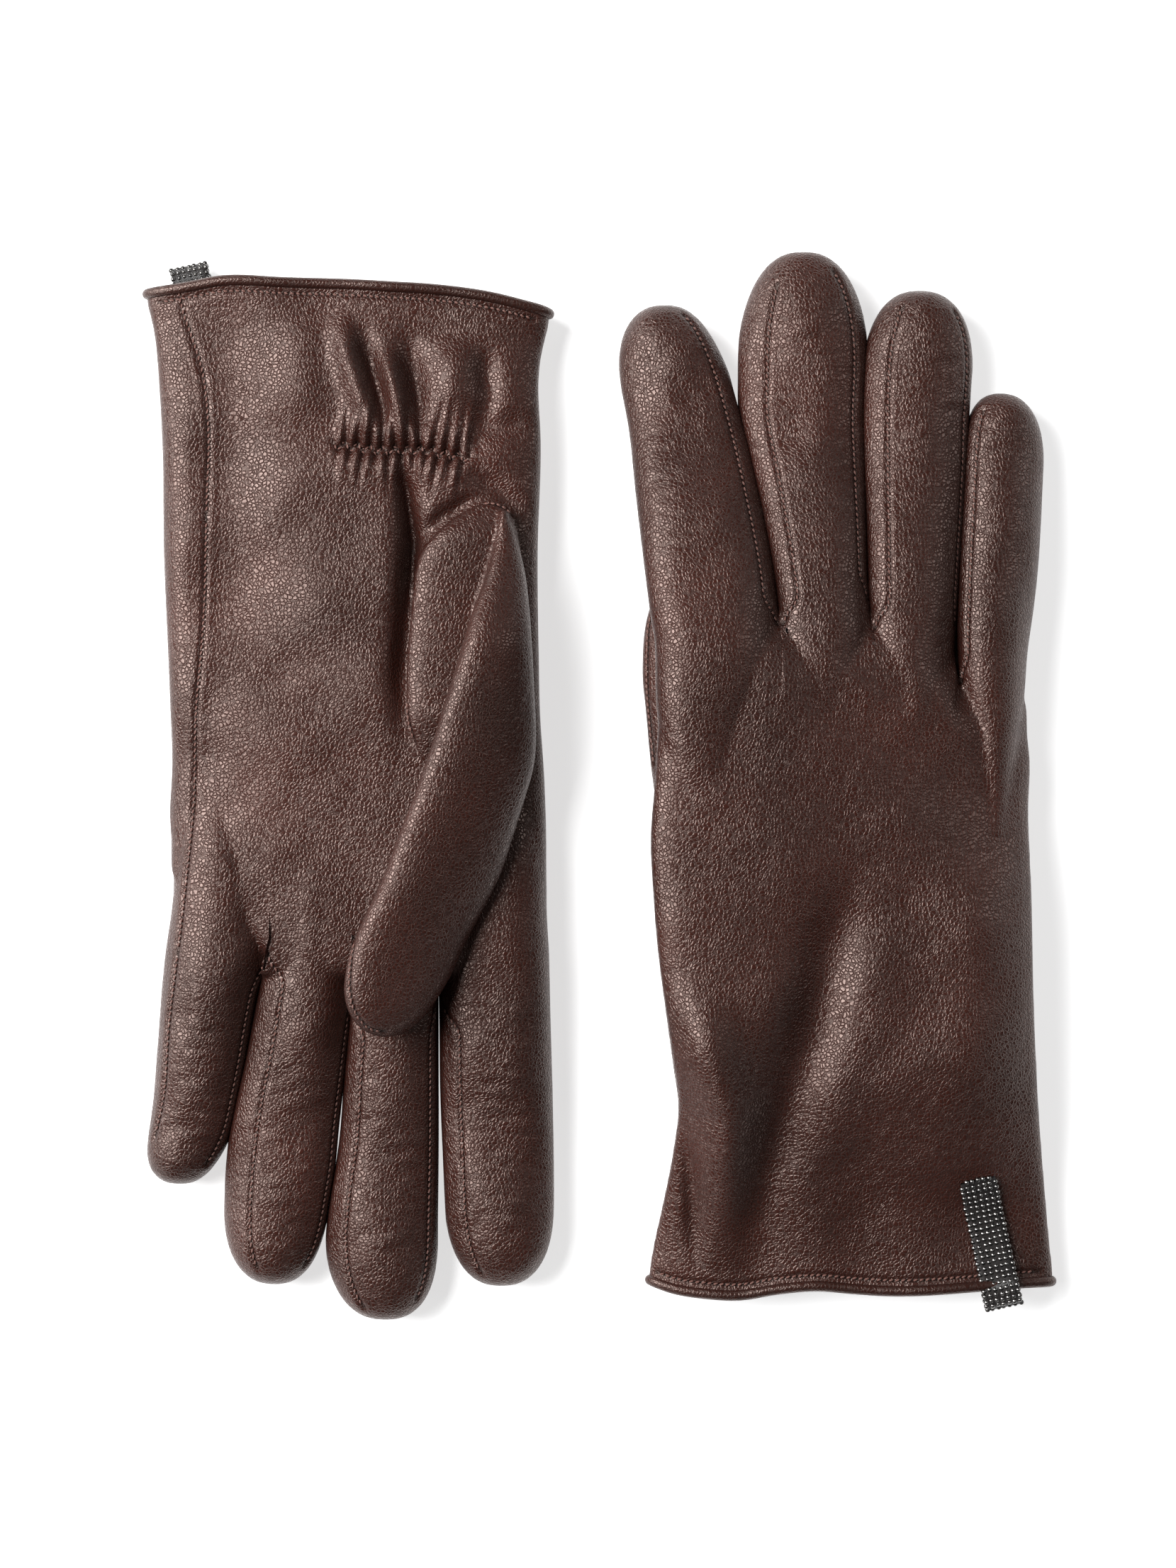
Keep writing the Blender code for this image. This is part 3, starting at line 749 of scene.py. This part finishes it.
def leather(name, deep, mid, light, roughness, grain=1.0):
    """Pebbled nappa: small uneven cells with furrows between them, shinier on their tops."""
    made = Shading(name, **{"Specular IOR Level": 0.72, "Specular Tint": (1.0, 0.78, 0.70, 1.0)})
    warp = made.texture("ShaderNodeTexNoise", Scale=420.0, Detail=3.0).outputs["Color"]
    bend = made.add(
        "ShaderNodeMixRGB", blend_type="LINEAR_LIGHT", Fac=0.0007, Color1=made.place, Color2=warp
    ).outputs["Color"]
    cells = made.add(
        "ShaderNodeTexVoronoi", Vector=bend, Scale=1200.0, feature="SMOOTH_F1", Smoothness=0.35
    ).outputs["Distance"]
    edges = made.add("ShaderNodeTexVoronoi", Vector=bend, Scale=1200.0, feature="DISTANCE_TO_EDGE")
    furrow = made.add("ShaderNodeMapRange", Value=edges.outputs["Distance"], **{"From Max": 0.22}).outputs[0]
    fine = made.add("ShaderNodeTexNoise", Vector=bend, Scale=3800.0, Detail=4.0, Roughness=0.6)
    creases = made.texture("ShaderNodeTexNoise", Scale=260.0, Detail=5.0, Roughness=0.62).outputs["Fac"]
    broad = made.texture("ShaderNodeTexNoise", Scale=34.0, Detail=4.0).outputs["Fac"]
    height = made.maths("ADD", furrow, made.maths("MULTIPLY", fine.outputs["Fac"], 0.08))
    height = made.maths("ADD", height, made.maths("MULTIPLY", creases, 0.35))
    height = made.maths("SUBTRACT", height, made.maths("MULTIPLY", cells, 0.30))
    seam = made.add("ShaderNodeAttribute", attribute_name="seam").outputs["Fac"]
    tint = made.ramp(broad, ((0.30, deep), (0.52, mid), (0.72, light)))
    # Painted shade: the leather's colour is darkened in the grain's furrows, as if shade lay in them.
    dark = made.multiply(tint, made.ramp(furrow, ((0.0, (0.35,)), (0.6, (1.0,)))), 0.75)
    # Painted shade: the colour is darkened close to each seam, as if shade lay in its groove.
    line = made.ramp(seam, ((0.04, (0.22,)), (0.13, (0.70,)), (0.24, (1.0,))))
    worn = made.maths("MULTIPLY", furrow, made.maths("ADD", creases, 0.45))
    return made.finish(
        Normal=made.bump(height, 0.60 * grain, 0.00014),
        Roughness=made.between(worn, roughness + 0.24, roughness - 0.02),
        **{"Base Color": made.multiply(dark, line, 1.0)},
    )


def thread(name, colour, scale=2600.0):
    """Twisted sewing thread, or a woven band at a coarser scale."""
    made = Shading(name, Roughness=0.42)
    twist = made.texture(
        "ShaderNodeTexWave", Scale=scale, Distortion=3.0, Detail=2.0, bands_direction="DIAGONAL"
    ).outputs["Fac"]
    tint = made.ramp(twist, ((0.0, tuple(c * 0.55 for c in colour)), (1.0, colour)))
    return made.finish(Normal=made.bump(twist, 0.6, 0.0001), **{"Base Color": tint})


def knit(name, colour):
    """The brushed knit of the lining."""
    made = Shading(name, Roughness=0.95, **{"Sheen Weight": 0.35})
    loops = made.texture(
        "ShaderNodeTexWave", Scale=520.0, Distortion=2.2, Detail=2.0, bands_direction="X"
    )
    fuzz = made.texture("ShaderNodeTexNoise", Scale=2400.0, Detail=5.0)
    mix = made.multiply(loops.outputs["Color"], fuzz.outputs["Color"], 0.7)
    tint = made.ramp(mix, ((0.0, tuple(c * 0.45 for c in colour)), (0.8, colour)))
    return made.finish(Normal=made.bump(mix, 0.9, 0.0003), **{"Base Color": tint})


def bead_metal(name):
    """Gunmetal plating, worn a little brighter in places."""
    made = Shading(name, Metallic=1.0)
    worn = made.texture("ShaderNodeTexNoise", Scale=900.0, Detail=3.0).outputs["Fac"]
    tint = made.ramp(worn, ((0.35, (0.10, 0.097, 0.095)), (0.7, (0.26, 0.25, 0.24))))
    return made.finish(Roughness=made.between(worn, 0.16, 0.34), **{"Base Color": tint})


LEATHER = leather(
    "mat_leather", (0.0225, 0.0057, 0.0037), (0.032, 0.0079, 0.0051), (0.043, 0.0110, 0.0073), 0.28
)
BINDING = leather(
    "mat_binding", (0.019, 0.0056, 0.0039), (0.026, 0.0075, 0.0051), (0.035, 0.0101, 0.0072), 0.27, 0.6
)
THREAD = thread("mat_thread", (0.210, 0.100, 0.080))
LINING = knit("mat_lining", (0.060, 0.030, 0.024))
BEADS = bead_metal("mat_beads")
BAND = thread("mat_band", (0.020, 0.016, 0.015), 1500.0)


# ---- pieces

def subset(name, world, faces, keep, normals, material, seam=None):
    """The piece of the skin made of some of its faces, shaded as if it were still whole."""
    faces, used = kept(faces, keep, len(world))
    obj = make_object(name, world[used], faces, material, normals[used])
    if seam is not None:
        set_attribute(obj, "seam", seam[used])
    return obj


def blend_v(obj, glove, a, b, start, end):
    """Bakes a piece's placement into its mesh; nothing is bent. glove, start and end are read but change
    nothing, and a and b are not used.
    """
    glove.at(0, start)
    glove.at(0, end)
    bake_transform(obj)


def blend_finger(obj, glove, finger):
    start, end = (finger.split + way for way in FINGER_BLEND)
    blend_v(obj, glove, "hand", finger.name, start, end)


BINDING_RADIUS = 1.25
STITCH_EVERY = 4  # seam steps
STITCH_HALF_LENGTH = 0.52
STITCH_RADIUS = 0.28
STITCH_SINK = 0.12
STITCH_LEAN = 0.35
STITCH_PROFILE = ((-1.0, 0.30), (-0.6, 0.9), (0.0, 1.0), (0.6, 0.9), (1.0, 0.30))
STITCH_COLUMNS = 6


def stitches(laid):
    """Small tight stitches in the seams' grooves, each a short leaning capsule: (points, faces)."""
    turn = np.linspace(0, 2 * np.pi, STITCH_COLUMNS, endpoint=False)
    capsule = grid_faces(len(STITCH_PROFILE), STITCH_COLUMNS)
    points, faces, count = [], [], 0
    for spots, normals in laid:
        for i in range(STITCH_EVERY, len(spots) - STITCH_EVERY, STITCH_EVERY):
            along = spots[i + 1] - spots[i - 1]
            along /= max(np.linalg.norm(along), 1e-9)
            out = normals[i] / np.linalg.norm(normals[i])
            along = along + STITCH_LEAN * np.cross(out, along)
            along /= np.linalg.norm(along)
            across = np.cross(out, along)
            middle = spots[i] - out * STITCH_SINK
            circle = np.cos(turn)[:, None] * across + np.sin(turn)[:, None] * out
            for t, r in STITCH_PROFILE:
                points.append(middle + along * t * STITCH_HALF_LENGTH + circle * r * STITCH_RADIUS)
            faces.append(capsule + count)
            count += len(STITCH_PROFILE) * STITCH_COLUMNS
    return np.concatenate(points), np.concatenate(faces)


def tube(path, radius, columns=16):
    """A round cord along a closed path: (points, faces)."""
    ahead = np.roll(path, -1, 0) - np.roll(path, 1, 0)
    ahead /= np.linalg.norm(ahead, axis=1, keepdims=True)
    up = np.tile(np.array([0.0, 1.0, 0.0]), (len(path), 1))
    side = np.cross(ahead, up)
    side /= np.linalg.norm(side, axis=1, keepdims=True)
    up = np.cross(side, ahead)
    turn = np.linspace(0, 2 * np.pi, columns, endpoint=False)[None, :, None]
    rings = path[:, None] + radius * (np.cos(turn) * side[:, None] + np.sin(turn) * up[:, None])
    faces = grid_faces(len(path) + 1, columns) % (len(path) * columns)
    return rings.reshape(-1, 3), faces


def rim_path(points, faces):
    """The mouth's edge as an even closed path."""
    rim = points[boundary(faces)]
    middle = rim.mean(0)
    across, up = (rim[:, 0] - middle[0]) / MOUTH_HALF_WIDTH, (rim[:, 2] - middle[2]) / MOUTH_HALF_THICK
    rim = rim[np.argsort(np.arctan2(up, across))]
    rim = np.concatenate([rim, rim[:1]])
    lengths = np.concatenate([[0], np.cumsum(np.linalg.norm(np.diff(rim, axis=0), axis=1))])
    s = np.linspace(0, lengths[-1], 301)[:-1]
    path = np.stack([np.interp(s, lengths, rim[:, k]) for k in range(3)], 1)
    for _ in range(6):
        path = (np.roll(path, 1, 0) + 2 * path + np.roll(path, -1, 0)) / 4
    return path


def oriented(faces, glove):
    """Faces turned to point outwards in the pair's frame."""
    return faces if glove.mirror > 0 else faces[:, ::-1]


def add_skin(glove):
    """The glove's outer leather, split into its hand, cuff and finger pieces."""
    side = glove.side
    points, faces, apart = build_skin(glove, SKIN_VOXEL, SKIN_SMOOTHING)
    points, gap, laid = sew(seams_of(glove), points, faces, hand_groove)
    world = glove.world(points)
    faces = oriented(faces, glove)
    normals = vertex_normals(world, faces)
    # The seam attribute, the distance to the nearest seam, places the painted shade along the seams' grooves.
    seam = np.minimum(gap / SEAM_REACH, 1.0)
    middle = points[faces].mean(1)
    apart_middle = apart[faces].mean(1)
    digit = digit_of(glove, apart_middle, middle[:, 1])
    splits = np.array([f.split for f in glove.fingers])
    on_finger = middle[:, 1] > splits[digit]
    cuff = middle[:, 1] < CUFF_SPLIT
    hand = subset(f"{side}_hand_skin", world, faces, ~on_finger & ~cuff, normals, LEATHER, seam)
    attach(hand, f"{side}_hand")
    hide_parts(f"{side}_back_panel", f"{side}_palm_panel")
    sleeve = subset(f"{side}_cuff_skin", world, faces, cuff, normals, LEATHER, seam)
    blend_v(sleeve, glove, "hand", "cuff", *WRIST_BLEND)
    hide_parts(f"{side}_cuff_leather", f"{side}_wrist_elastic")
    for i, finger in enumerate(glove.fingers):
        keep = on_finger & (digit == i)
        obj = subset(f"{side}_{finger.name}_skin", world, faces, keep, normals, LEATHER, seam)
        blend_finger(obj, glove, finger)
        names = [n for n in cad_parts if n.startswith(f"{side}_{finger.name}_")]
        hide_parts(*names)
    return points, oriented(faces, glove), laid


def add_stitches(glove, laid):
    """The stitches of each body, the long side seam's being shared out between three."""
    side = glove.side
    groups = {"hand": [], "cuff": []}
    for seam, spots, normals in laid:
        low = spots[:, 1] < CUFF_SPLIT
        high = spots[:, 1] > glove.fingers[-1].split
        shares = [(seam.body, slice(None))]
        if seam.body == "hand":
            shares = [("cuff", low), ("hand", ~low & ~high), ("little", high)]
        for body, part in shares:
            groups.setdefault(body, []).append((spots[part], normals[part]))
    for body, parts in groups.items():
        points, faces = stitches(parts)
        points = glove.world(points)
        obj = make_object(f"{side}_{body}_stitches", points, oriented(faces, glove), THREAD)
        if body == "hand":
            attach(obj, f"{side}_hand")
        elif body == "cuff":
            blend_v(obj, glove, "hand", "cuff", *WRIST_BLEND)
        else:
            blend_finger(obj, glove, next(f for f in glove.fingers if f.name == body))


def add_lining(glove):
    """The knit inside the cuff and the hand, as far as it can be seen from the mouth."""
    side = glove.side
    points, faces, _ = build_skin(glove, LINING_VOXEL, LINING_SMOOTHING)
    normals = vertex_normals(points, faces)
    points = points - normals * LINING_INSET
    points[:, 1] = np.maximum(points[:, 1], curve(glove.mouth, points[:, 0]) + 0.2)
    world = glove.world(points)
    faces = oriented(faces, glove)[:, ::-1]
    shading = vertex_normals(world, faces)
    middle = points[faces].mean(1)[:, 1]
    in_cuff = middle < CUFF_SPLIT
    for part, keep in (("cuff", in_cuff), ("hand", ~in_cuff & (middle < LINING_END_V))):
        obj = subset(f"{side}_{part}_lining_knit", world, faces, keep, shading, LINING)
        if part == "cuff":
            blend_v(obj, glove, "hand", "cuff", *WRIST_BLEND)
        else:
            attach(obj, f"{side}_hand")
        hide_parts(f"{side}_{part}_lining")


def add_binding(glove, points, faces):
    """The rolled leather edge round the mouth."""
    side = glove.side
    path = rim_path(points, faces)
    path[:, 1] += 0.4
    ring, ring_faces = tube(path, BINDING_RADIUS)
    obj = make_object(f"{side}_binding_roll", glove.world(ring), oriented(ring_faces, glove), BINDING)
    set_attribute(obj, "seam", np.ones(len(ring)))
    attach(obj, f"{side}_cuff")
    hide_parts(f"{side}_cuff_binding")


def sphere(radius, rings=6, columns=10):
    lat = np.linspace(-np.pi / 2, np.pi / 2, rings)[:, None]
    lon = np.linspace(0, 2 * np.pi, columns, endpoint=False)
    axes = [np.cos(lat) * np.cos(lon), np.cos(lat) * np.sin(lon), np.sin(lat) * np.ones(columns)]
    return np.stack(axes, -1).reshape(-1, 3) * radius, grid_faces(rings, columns)


BEAD_PITCH = 1.31
BEAD_RADIUS = 0.66
BEAD_COLUMNS = 7
BEAD_JITTER = 0.07
BEAD_RISE = 0.75
BAND_SHARE = 1.04
BAND_HALF_THICK = 0.35
STRAP_TOP = (30.8, 24.6)
STRAP_LEAN = 0.218
STRAP_LOOP = -5.2
STRAP_GAP = 4.4
STRAP_INSIDE = (4.0, 8.0, 12.0)


def bead_height(tree, u, v):
    """How high a bead lies on the back at (u, v), or None beside the glove."""
    hit, _, _, _ = tree.ray_cast(Vector((u, v, CAST_FROM)), Vector((0, 0, -1)))
    return None if hit is None else hit[2] + BEAD_RISE


def strap_u(v):
    return STRAP_TOP[0] + (STRAP_TOP[1] - v) * STRAP_LEAN


def strap_path(tree):
    """The strap's middle line: down the outside of the back, round the mouth's edge and up inside."""
    path = [(strap_u(v), v, bead_height(tree, strap_u(v), v)) for v in np.linspace(STRAP_TOP[1], 0.8, 19)]
    outer = path[-1][2] + 0.9
    inner = outer - STRAP_GAP
    for turn in np.linspace(0.25, np.pi, 11):
        v = 0.5 + STRAP_LOOP * math.sin(turn)
        path.append((strap_u(v), v, (outer + inner) / 2 + (outer - inner) / 2 * math.cos(turn)))
    path += [(strap_u(v), v, inner) for v in STRAP_INSIDE]
    return resample(path, BEAD_PITCH)


def add_strap(glove, points, faces):
    """A strap woven of small metal beads over a dark band."""
    side = glove.side
    tree = BVHTree.FromPolygons(points.tolist(), faces.tolist())
    path = strap_path(tree)
    ahead = np.gradient(path, axis=0)
    ahead /= np.linalg.norm(ahead, axis=1, keepdims=True)
    across = np.array([1.0, STRAP_LEAN, 0.0]) / math.hypot(1.0, STRAP_LEAN)
    offsets = (np.arange(BEAD_COLUMNS) - (BEAD_COLUMNS - 1) / 2) * BEAD_PITCH
    rng = np.random.default_rng(7)
    bead, bead_faces = sphere(BEAD_RADIUS)
    beads, all_faces = [], []
    level = np.zeros((BEAD_COLUMNS, 3))
    for k, offset in enumerate(offsets):
        spot = path[3] + across * offset
        height = bead_height(tree, spot[0], spot[1])
        level[k, 2] = 0.0 if height is None else height - path[3][2]
    for i, spot in enumerate(path):
        for k, offset in enumerate(offsets):
            if i == 0 and abs(offset) > 2.5 * BEAD_PITCH:
                continue
            jitter = rng.normal(0, BEAD_JITTER, 3)
            all_faces.append(bead_faces + len(beads) * len(bead))
            beads.append(bead + spot + across * offset + level[k] + jitter)
    points, faces = glove.world(np.concatenate(beads)), np.concatenate(all_faces)
    obj = make_object(f"{side}_strap_beads", points, oriented(faces, glove), BEADS)
    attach(obj, f"{side}_cuff")
    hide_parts(f"{side}_bead_tab")
    out = np.cross(across, ahead) * BAND_HALF_THICK
    weave = offsets[:, None] * across * BAND_SHARE + level
    rows = [np.concatenate([s + weave - o, s + weave[::-1] + o]) for s, o in zip(path, out)]
    points, faces = glove.world(np.concatenate(rows)), grid_faces(len(rows), 2 * BEAD_COLUMNS)
    band = make_object(f"{side}_strap_band", points, oriented(faces, glove), BAND)
    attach(band, f"{side}_cuff")


# ---- thumbs

LEFT_TUBE = (
    (53, -35.2, -37.2), (57, -34.6, -38.6), (62, -33.7, -40.0), (68.5, -31.8, -41.3), (75, -29.3, -42.0),
    (83, -26.9, -42.6), (91, -24.5, -43.0), (99, -22.0, -43.4), (106, -19.9, -43.5), (112, -17.8, -42.8),
    (117, -16.2, -41.4), (125, -13.0, -38.9), (137, -8.6, -34.9), (146, -4.3, -30.3), (152, -1.8, -27.2),
    (158, -0.3, -24.6), (173, 1.6, -20.0),
)
LEFT_GUSSET = (
    (50.5, -31.5, -34.8), (52, -28.0, -37.2), (55, -23.4, -38.6), (59.5, -18.9, -39.6), (63.6, -16.5, -40.3),
    (70, -15.5, -41.0), (78, -14.7, -41.5), (86, -14.0, -41.8), (94.5, -13.8, -41.6), (101, -14.1, -40.5),
    (106, -15.6, -38.0), (113, -19.0, -32.0),
)
THUMB_BASE_THICK = 2.5
LEFT_THUMB_SEAMS = (
    ((-6.0, 134), (-2.9, 148), (-1.3, 157), (-1.4, 163), (-2.8, 167.5), (-5.4, 170.6), (-9.5, 171.8)),
    (
        (-16.0, 66), (-16.3, 63.6), (-18.7, 59.5), (-21.5, 56), (-24.5, 53.5), (-27.7, 51.8), (-31, 50.8),
        (-34.2, 50.8), (-36.2, 51.6), (-38.5, 54),
    ),
    ((-15.9, 65), (-15.2, 72), (-14.6, 79), (-13.9, 87), (-13.8, 95), (-14.3, 101), (-15.8, 106)),
)


def thumb_stations(rows, start, end, rounding, tip_u, base_w, rest_w, thick):
    """Sections of a thumb from start to end along v, its middle going from base_w to rest_w."""
    stations = []
    for v in stations_to(end, np.concatenate([[start, start + 0.3], np.arange(start + 1, end - 3, 1.5)])):
        inner, outer = edges_at(rows, v)
        share = np.clip((v - (end - rounding)) / rounding, 0, 1)
        centre = (inner + outer) / 2
        centre += (tip_u - centre) * share**2.0
        rise = smooth((v - start) / 34.0)
        late = np.clip((v - end + 0.62 * rounding) / (0.62 * rounding), 0, 1)
        half = abs(inner - outer) / 2 * rounded(share, 2.2)
        swell = (THUMB_BASE_THICK + (thick - THUMB_BASE_THICK) * rise) * rounded(late, 2.3)
        stations.append((centre, v, base_w + (rest_w - base_w) * rise, half, swell))
    return stations


def tilted(solid, rows, slope):
    """A solid whose top is turned down towards its outer edge."""
    points, faces = solid
    middle = curve([(r[0], (r[1] + r[2]) / 2) for r in rows], points[:, 1])
    points[:, 2] -= slope * (points[:, 0] - middle)
    return points, faces


def left_thumb():
    tube_part = thumb_stations(LEFT_TUBE, 52.5, 172.8, 17.0, -9.5, -9.8, -15.6, 6.4)
    pillow = []
    for v in np.arange(50.6, 112.5, 1.2):
        inner, outer = edges_at(LEFT_GUSSET, v)
        swell = smooth((v - 50.0) / 9.0) * (1 - smooth((v - 98.0) / 15.0))
        pillow.append(((inner + outer) / 2, v, -8.8, (inner - outer) / 2, 0.8 + 3.3 * swell))
    return [
        tilted(loft(tube_part, 2.3, 90), LEFT_TUBE, 0.42),
        tilted(loft(pillow, 2.4, 90), LEFT_GUSSET, 0.16),
    ]


RIGHT_TUBE = (
    (64, -15.0, -36.0), (81, -14.4, -37.8), (100, -17.0, -41.2), (120, -20.4, -44.2), (133, -22.6, -45.4),
    (140, -23.8, -46.1), (147, -25.0, -46.0), (153, -26.0, -45.6), (163, -27.5, -45.0),
)


RIGHT_THUMB_SEAM = ((-43.6, 120), (-44.6, 130), (-45.2, 138), (-45.2, 146), (-44.4, 154), (-41, 160))


def right_thumb():
    stations = thumb_stations(RIGHT_TUBE, 63.0, 163.0, 15.0, -37.0, -6.0, -2.5, 6.4)
    return [loft(stations, 2.3, 90)]


def thumb_world(glove, points):
    """The left thumb lies on the raised palm. The right one, folded under, goes up with the palm near
    its base and lies on the table further on."""
    if glove.side == "left":
        return glove.world(points)
    return glove.world(points, 1.0 - smooth((points[:, 1] - 78.0) / 34.0))


def add_thumb(glove):
    side = glove.side
    if side == "left":
        solids = left_thumb()
        seams = [Seam("thumb", -1, line) for line in LEFT_THUMB_SEAMS]
    else:
        solids = right_thumb()
        seams = [Seam("thumb", 1, RIGHT_THUMB_SEAM)]
    points, faces = remeshed(f"{side}_thumb_union", solids, SKIN_VOXEL, THUMB_SMOOTHING)
    points, gap, laid = sew(seams, points, faces, thumb_groove)
    world = thumb_world(glove, points)
    faces = oriented(faces, glove)
    obj = make_object(f"{side}_thumb_skin", world, faces, LEATHER, vertex_normals(world, faces))
    # The seam attribute places the painted shade along the thumb's seams.
    set_attribute(obj, "seam", np.minimum(gap / SEAM_REACH, 1.0))
    blend_v(obj, glove, "hand", "thumb", *THUMB_BLEND)
    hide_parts(f"{side}_thumb_leather", f"{side}_thumb_lining")
    points, faces = stitches([(spots, normals) for _, spots, normals in laid])
    world = thumb_world(glove, points)
    sewn = make_object(f"{side}_thumb_stitches", world, oriented(faces, glove), THREAD)
    blend_v(sewn, glove, "hand", "thumb", *THUMB_BLEND)


def add_glove(glove):
    points, faces, laid = add_skin(glove)
    add_stitches(glove, laid)
    add_lining(glove)
    add_binding(glove, points, faces)
    add_strap(glove, points, faces)
    add_thumb(glove)


# ---- stage

def add_stage():
    """A plain pale floor, lit a little from within so that it stays white."""
    made = Shading(
        "mat_floor",
        Roughness=0.9,
        **{"Specular IOR Level": 0.1, "Emission Color": (1.0, 1.0, 1.0, 1.0), "Emission Strength": 0.66},
    )
    mottle = made.texture("ShaderNodeTexNoise", Scale=3.0, Detail=2.0).outputs["Fac"]
    mat = made.finish(**{"Base Color": made.ramp(mottle, ((0.0, (0.80,)), (1.0, (0.84,))))})
    floor = make_object("floor", [(-3, -3, 0), (3, -3, 0), (3, 3, 0), (-3, 3, 0)], [(0, 1, 2, 3)], mat)


def add_light(name, location, target, size, power):
    data = bpy.data.lights.new(name, "AREA")
    data.shape = "RECTANGLE"
    data.size, data.size_y = size
    data.energy = power
    light = bpy.data.objects.new(name, data)
    bpy.context.scene.collection.objects.link(light)
    light.location = location
    light.rotation_euler = (Vector(target) - Vector(location)).to_track_quat("-Z", "Y").to_euler()


def light_up():
    world = bpy.data.worlds.new("Studio")
    bpy.context.scene.world = world
    world.use_nodes = True
    world.node_tree.nodes["Background"].inputs["Color"].default_value = (1.0, 1.0, 1.0, 1.0)
    world.node_tree.nodes["Background"].inputs["Strength"].default_value = 0.08
    add_light("key", (-0.86, 0.30, 0.90), (0, 0, 0), (0.95, 0.95), 38.0)
    add_light("rim", (1.00, 0.30, 0.60), (0, 0, 0), (0.3, 0.8), 2.0)


def add_camera():
    distance, centre, frame_height = 1.30, (-0.0030, 0.0004), 0.3606
    data = bpy.data.cameras.new("camera")
    data.lens = data.sensor_width * distance / frame_height
    camera = bpy.data.objects.new("camera", data)
    bpy.context.scene.collection.objects.link(camera)
    camera.location = (centre[0], centre[1], distance + 0.014)
    bpy.context.scene.camera = camera


bpy.context.scene.view_settings.view_transform = "Standard"
add_stage()
light_up()
add_camera()
for glove in (LEFT, RIGHT):
    add_glove(glove)
